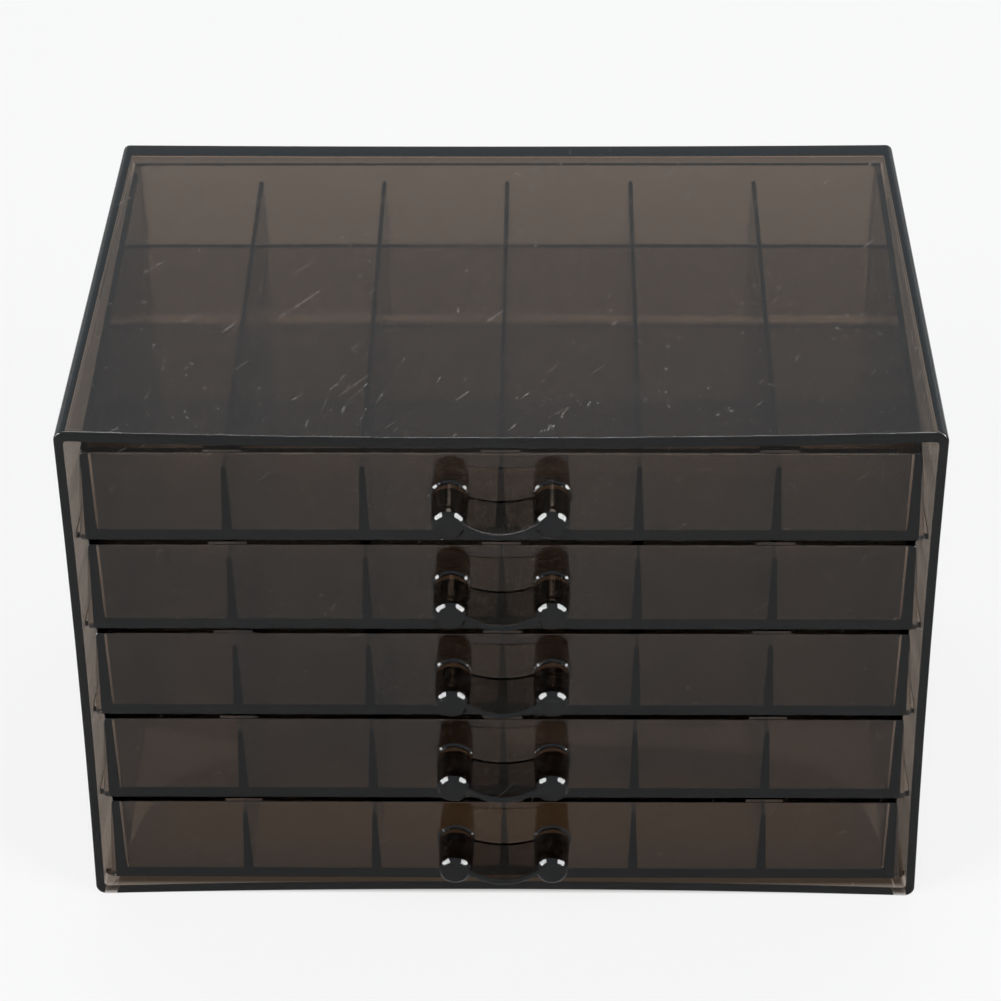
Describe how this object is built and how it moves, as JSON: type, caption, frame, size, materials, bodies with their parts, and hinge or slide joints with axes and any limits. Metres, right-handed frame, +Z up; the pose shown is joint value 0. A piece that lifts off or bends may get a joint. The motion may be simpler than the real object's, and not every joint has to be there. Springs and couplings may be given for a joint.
{
  "type": "drawer organizer",
  "caption": "Smoked clear plastic tabletop organizer: an open-fronted case with shallow divided drawers that slide out on ledges, each with a two-post pull.",
  "frame": {"origin": "centre of the case's footprint, on the base it stands on", "axes": "+X to the right along the width, +Y from the open front to the back, +Z up"},
  "size_m": [0.2368, 0.1723, 0.1611],
  "materials": {
    "case_plastic": "clear smoked gloss",
    "drawer_plastic": "clear smoked gloss",
    "handle_plastic": "clear smoked gloss"
  },
  "bodies": {
    "case": {"case_shell": "case_plastic"},
    "drawer_1": {"drawer_1_tray": "drawer_plastic", "drawer_1_handle": "handle_plastic"},
    "drawer_2": {"drawer_2_tray": "drawer_plastic", "drawer_2_handle": "handle_plastic"},
    "drawer_3": {"drawer_3_tray": "drawer_plastic", "drawer_3_handle": "handle_plastic"},
    "drawer_4": {"drawer_4_tray": "drawer_plastic", "drawer_4_handle": "handle_plastic"},
    "drawer_5": {"drawer_5_tray": "drawer_plastic", "drawer_5_handle": "handle_plastic"}
  },
  "joints": [
    {"name": "drawer_1_slide", "type": "slide", "parent": "case", "child": "drawer_1", "axis": [0, -1, 0], "range_m": [0, 0.13]},
    {"name": "drawer_2_slide", "type": "slide", "parent": "case", "child": "drawer_2", "axis": [0, -1, 0], "range_m": [0, 0.13]},
    {"name": "drawer_3_slide", "type": "slide", "parent": "case", "child": "drawer_3", "axis": [0, -1, 0], "range_m": [0, 0.13]},
    {"name": "drawer_4_slide", "type": "slide", "parent": "case", "child": "drawer_4", "axis": [0, -1, 0], "range_m": [0, 0.13]},
    {"name": "drawer_5_slide", "type": "slide", "parent": "case", "child": "drawer_5", "axis": [0, -1, 0], "range_m": [0, 0.13]}
  ]
}
